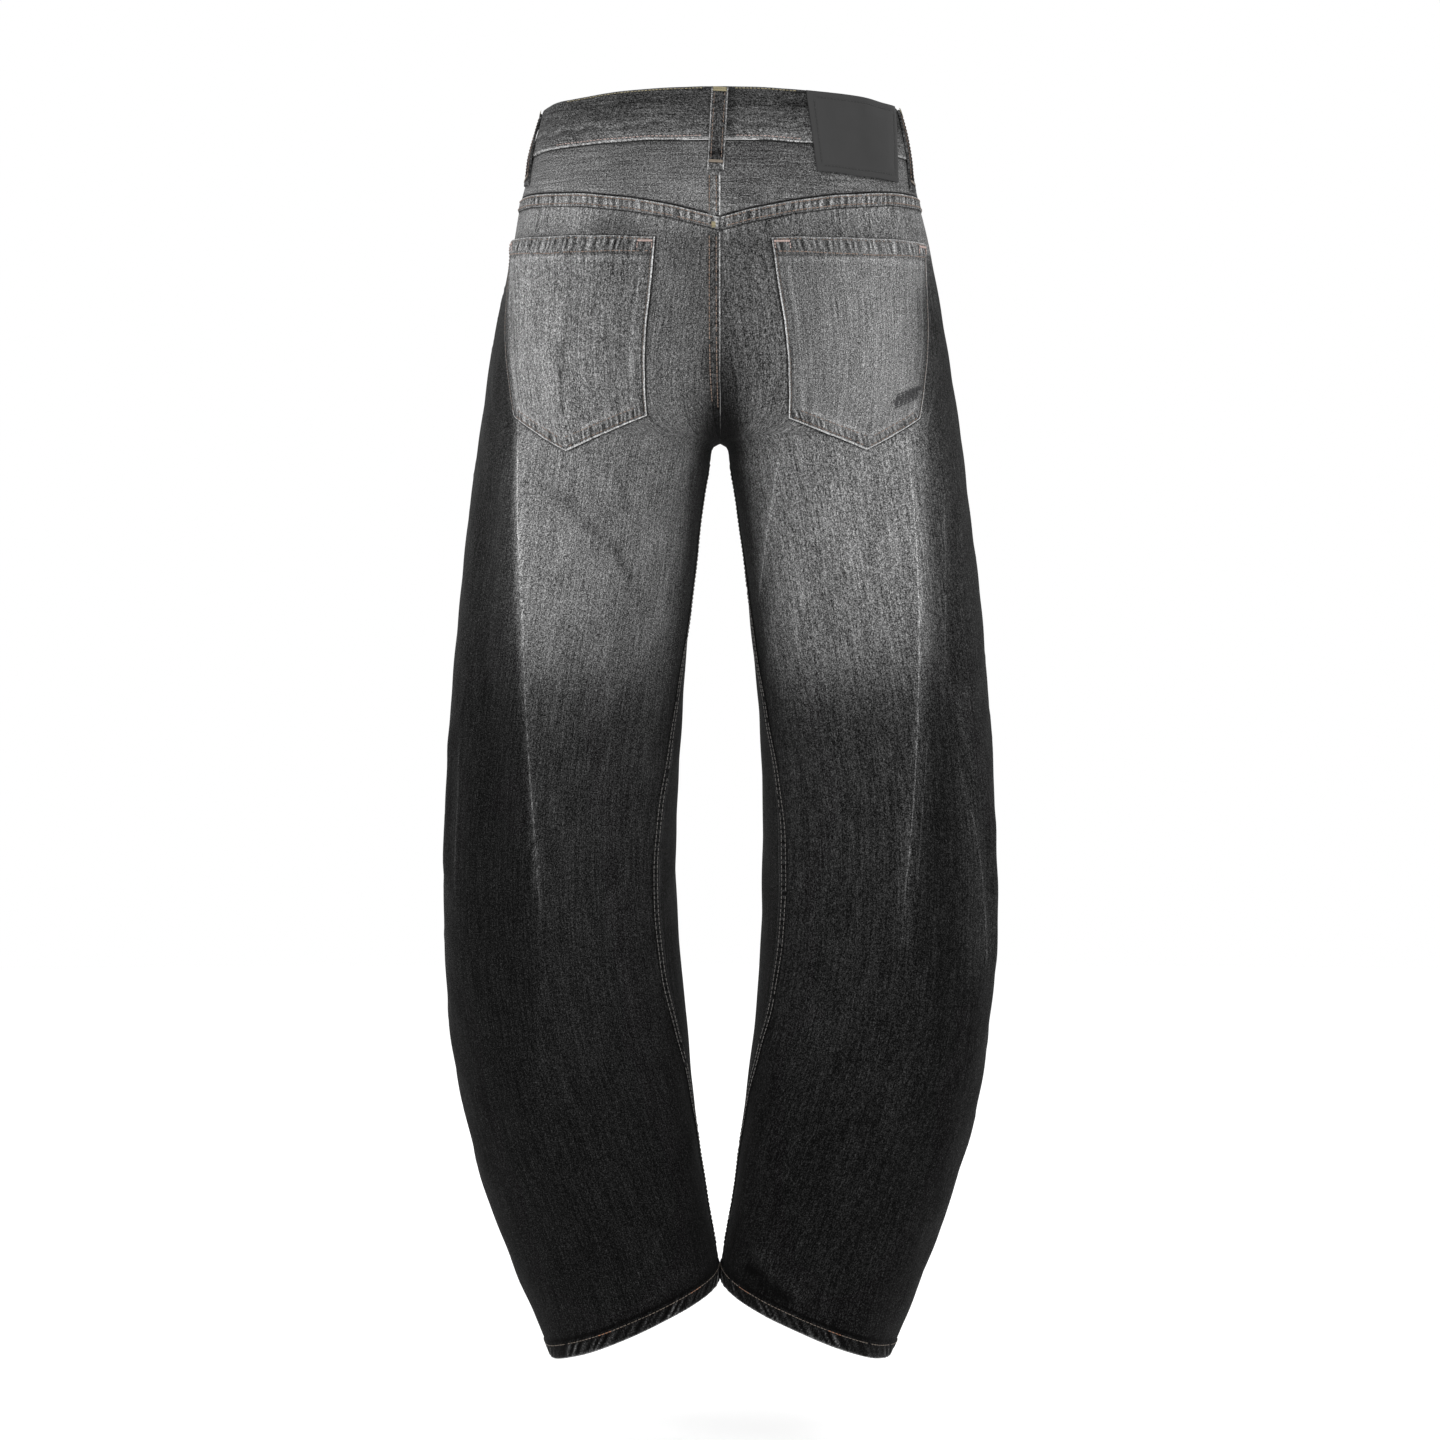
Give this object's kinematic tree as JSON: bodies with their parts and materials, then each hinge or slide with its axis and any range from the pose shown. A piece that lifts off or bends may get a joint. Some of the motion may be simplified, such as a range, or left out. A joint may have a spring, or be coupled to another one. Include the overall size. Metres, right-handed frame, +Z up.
{
  "type": "distressed jeans",
  "caption": "Hollow worn barrel-leg jeans of faded black denim: waistband, pointed yoke, back pockets, scooped front pockets, fly and turned hems.",
  "frame": {"origin": "middle of the waist opening, level with the waistband, where the wearer holds the jeans up", "axes": "+Z up, +Y towards the wearer's back, +X towards the wearer's left"},
  "size_m": [0.4604, 0.2364, 1.0423],
  "materials": {
    "denim_faded": "faded black denim twill",
    "denim_dark": "washed black denim twill",
    "zip_tape": "woven tape",
    "leather": "smooth matte leather",
    "button_metal": "worn gunmetal"
  },
  "bodies": {
    "root": {"waistband": "denim_faded", "yoke_left": "denim_faded", "yoke_right": "denim_faded", "back_left": "denim_faded", "back_right": "denim_faded", "front_left": "denim_dark", "front_right": "denim_dark", "pocket_facing_left": "denim_dark", "pocket_facing_right": "denim_dark", "back_pocket_left": "denim_faded", "back_pocket_right": "denim_faded", "loop_back": "denim_faded", "loop_side_left": "denim_faded", "loop_side_right": "denim_faded", "loop_front_left": "denim_faded", "loop_front_right": "denim_faded", "fly_placket": "denim_faded", "fly_zip": "zip_tape", "patch": "leather", "waist_button": "button_metal"}
  },
  "joints": []
}
